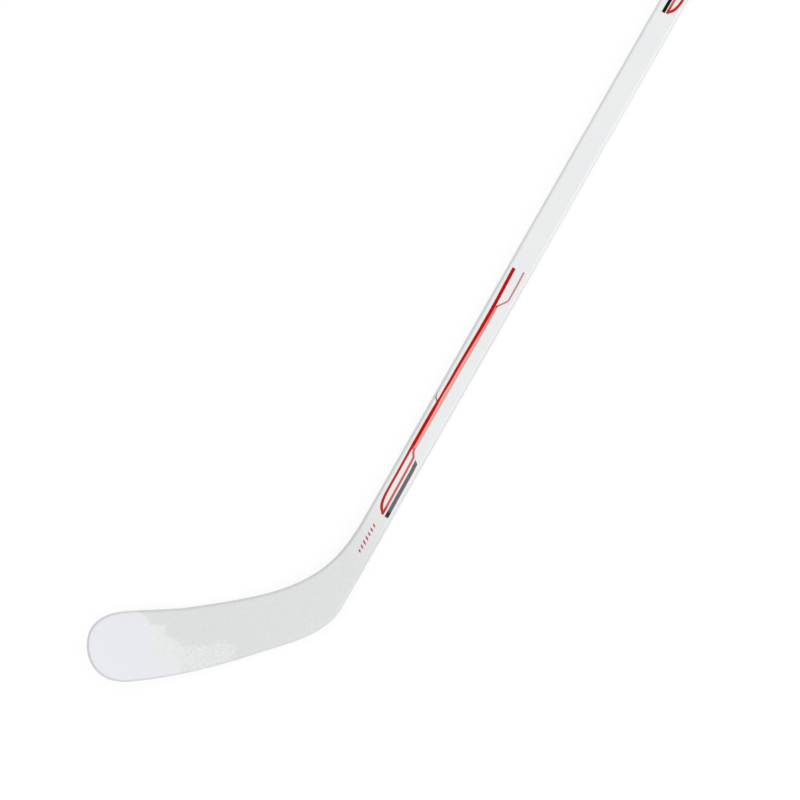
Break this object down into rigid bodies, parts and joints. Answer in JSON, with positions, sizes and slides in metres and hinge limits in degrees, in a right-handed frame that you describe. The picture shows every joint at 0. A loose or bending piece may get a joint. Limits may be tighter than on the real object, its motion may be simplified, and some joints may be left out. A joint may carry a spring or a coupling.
{
  "type": "roller hockey stick",
  "caption": "Straight laminated wooden shaft with a long, slightly curved, round-toed blade at an angle, cloth-wrapped over a moulded core, for a right-handed player.",
  "frame": {"origin": "halfway along the shaft, in the middle of its back face, which the stick lies on", "axes": "+X up the shaft to the butt, +Y to the side that the blade reaches out to, +Z out of the forehand face"},
  "size_m": [1.6892, 0.2263, 0.0193],
  "materials": {
    "soft_ply": "raw aspen, glued",
    "hard_ply": "raw birch, glued",
    "shaft_lacquer": "white lacquer on fibreglass, glossy",
    "core_plastic": "white moulded ABS, satin",
    "blade_cloth": "resin-filled glass cloth, painted white, satin",
    "red_stripe": "red ink under lacquer",
    "black_stripe": "black ink under lacquer"
  },
  "bodies": {
    "root": {"shaft_centre_ply": "soft_ply", "shaft_inner_ply_front": "soft_ply", "shaft_inner_ply_back": "soft_ply", "shaft_face_ply_front": "hard_ply", "shaft_face_ply_back": "hard_ply", "shaft_glass_front": "shaft_lacquer", "shaft_glass_back": "shaft_lacquer", "blade_core": "core_plastic", "heel_block_front": "hard_ply", "heel_block_back": "hard_ply", "blade_glass_front": "blade_cloth", "blade_glass_back": "blade_cloth"}
  },
  "joints": []
}
